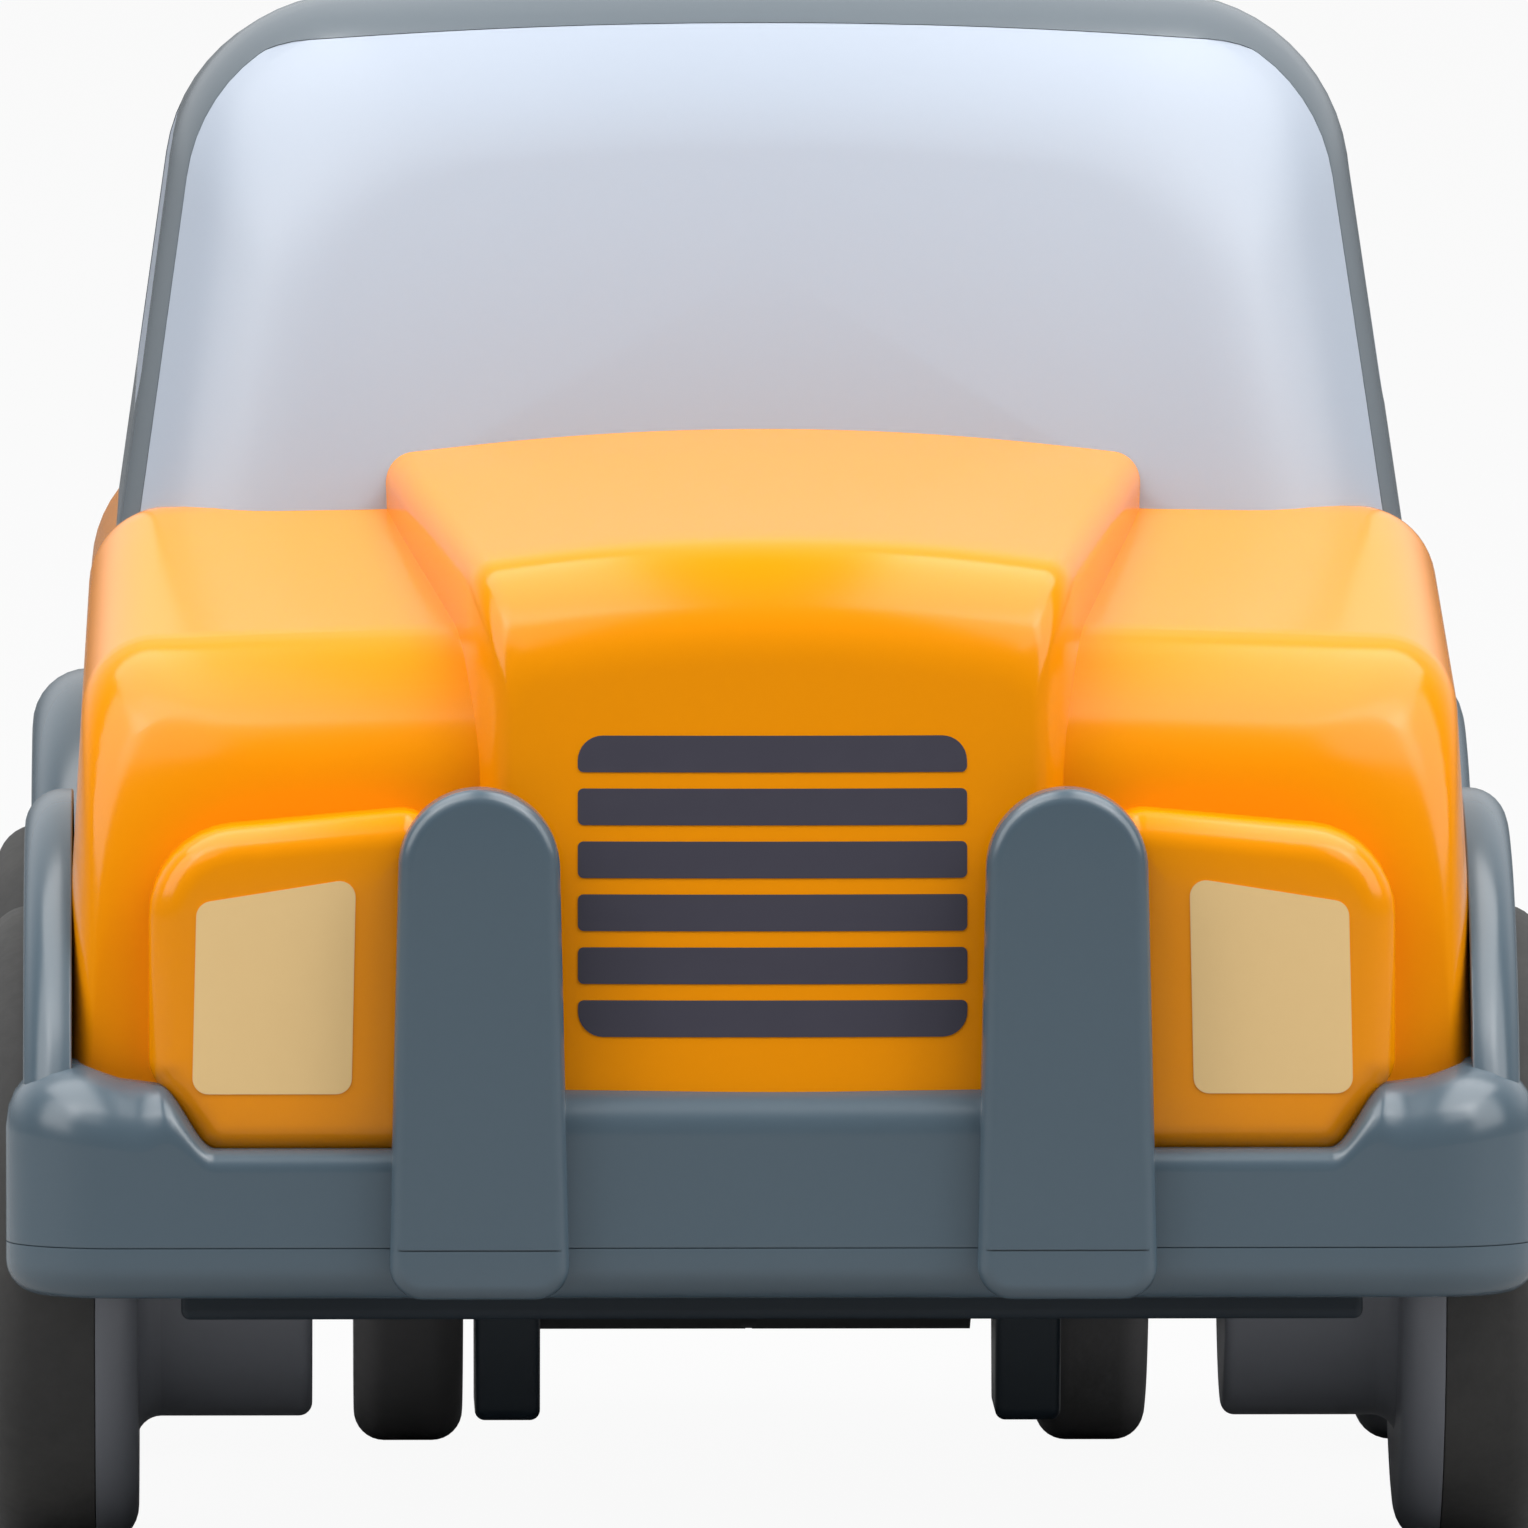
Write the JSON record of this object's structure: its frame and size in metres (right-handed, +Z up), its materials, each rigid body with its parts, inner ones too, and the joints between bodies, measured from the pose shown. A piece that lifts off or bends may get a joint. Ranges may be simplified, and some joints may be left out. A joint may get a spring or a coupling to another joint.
{
  "type": "toy off-road car",
  "caption": "Chunky push-along toy off-road car with bull bar, flared wheels, grey roof and pale windows, and a geared flywheel drive on its rear axle.",
  "frame": {"origin": "on the floor under the middle of the car", "axes": "+Z up, the car faces -Y, +X is on the right of a viewer who stands in front of it"},
  "size_m": [0.0692, 0.102, 0.0687],
  "materials": {
    "orange": "glossy moulded orange plastic",
    "roof_grey": "glossy moulded grey plastic",
    "glazing": "glossy opaque pale grey plastic",
    "slate": "satin moulded slate plastic",
    "wheel": "satin dark grey plastic",
    "rubber": "matte soft rubber",
    "black": "satin black plastic",
    "gear": "natural white acetal",
    "steel": "bright turned steel"
  },
  "bodies": {
    "car": {"body_shell": "orange", "canopy_frame": "roof_grey", "window_insert": "glazing", "fender_frame": "slate", "chassis_base": "slate", "motor_case_left": "black", "motor_case_right": "black", "idler_pin": "steel", "body_screw_1": "steel", "body_screw_2": "steel", "body_screw_3": "steel", "body_screw_4": "steel", "motor_screw_1": "steel", "motor_screw_2": "steel", "motor_screw_3": "steel", "motor_screw_4": "steel"},
    "front_wheels": {"front_axle": "steel", "wheel_front_left": "wheel", "wheel_front_right": "wheel", "tyre_front_left": "rubber", "tyre_front_right": "rubber", "hub_cap_front_left": "slate", "hub_cap_front_right": "slate"},
    "rear_wheels": {"rear_axle": "steel", "drive_gear": "gear", "roller_core_left": "wheel", "roller_core_right": "wheel", "roller_band_left": "rubber", "roller_band_right": "rubber", "wheel_rear_left": "wheel", "wheel_rear_right": "wheel", "tyre_rear_left": "rubber", "tyre_rear_right": "rubber", "hub_cap_rear_left": "slate", "hub_cap_rear_right": "slate"},
    "idler": {"idler_gear": "gear"},
    "flywheel": {"flywheel": "steel", "flywheel_shaft": "steel", "flywheel_pinion": "gear"}
  },
  "joints": [
    {"name": "front_axle_spin", "type": "hinge", "parent": "car", "child": "front_wheels", "pos_m": [0, -0.029, 0.0142], "axis": [1, 0, 0], "continuous": true},
    {"name": "rear_axle_spin", "type": "hinge", "parent": "car", "child": "rear_wheels", "pos_m": [0, 0.027, 0.0142], "axis": [1, 0, 0], "continuous": true},
    {"name": "idler_spin", "type": "hinge", "parent": "car", "child": "idler", "pos_m": [0, 0.01963, 0.01936], "axis": [1, 0, 0], "continuous": true},
    {"name": "flywheel_spin", "type": "hinge", "parent": "car", "child": "flywheel", "pos_m": [0, 0.01226, 0.02452], "axis": [1, 0, 0], "continuous": true}
  ],
  "couplings": [
    {"joint": "idler_spin", "follows": "rear_axle_spin", "ratio": -2},
    {"joint": "flywheel_spin", "follows": "rear_axle_spin", "ratio": 4}
  ]
}
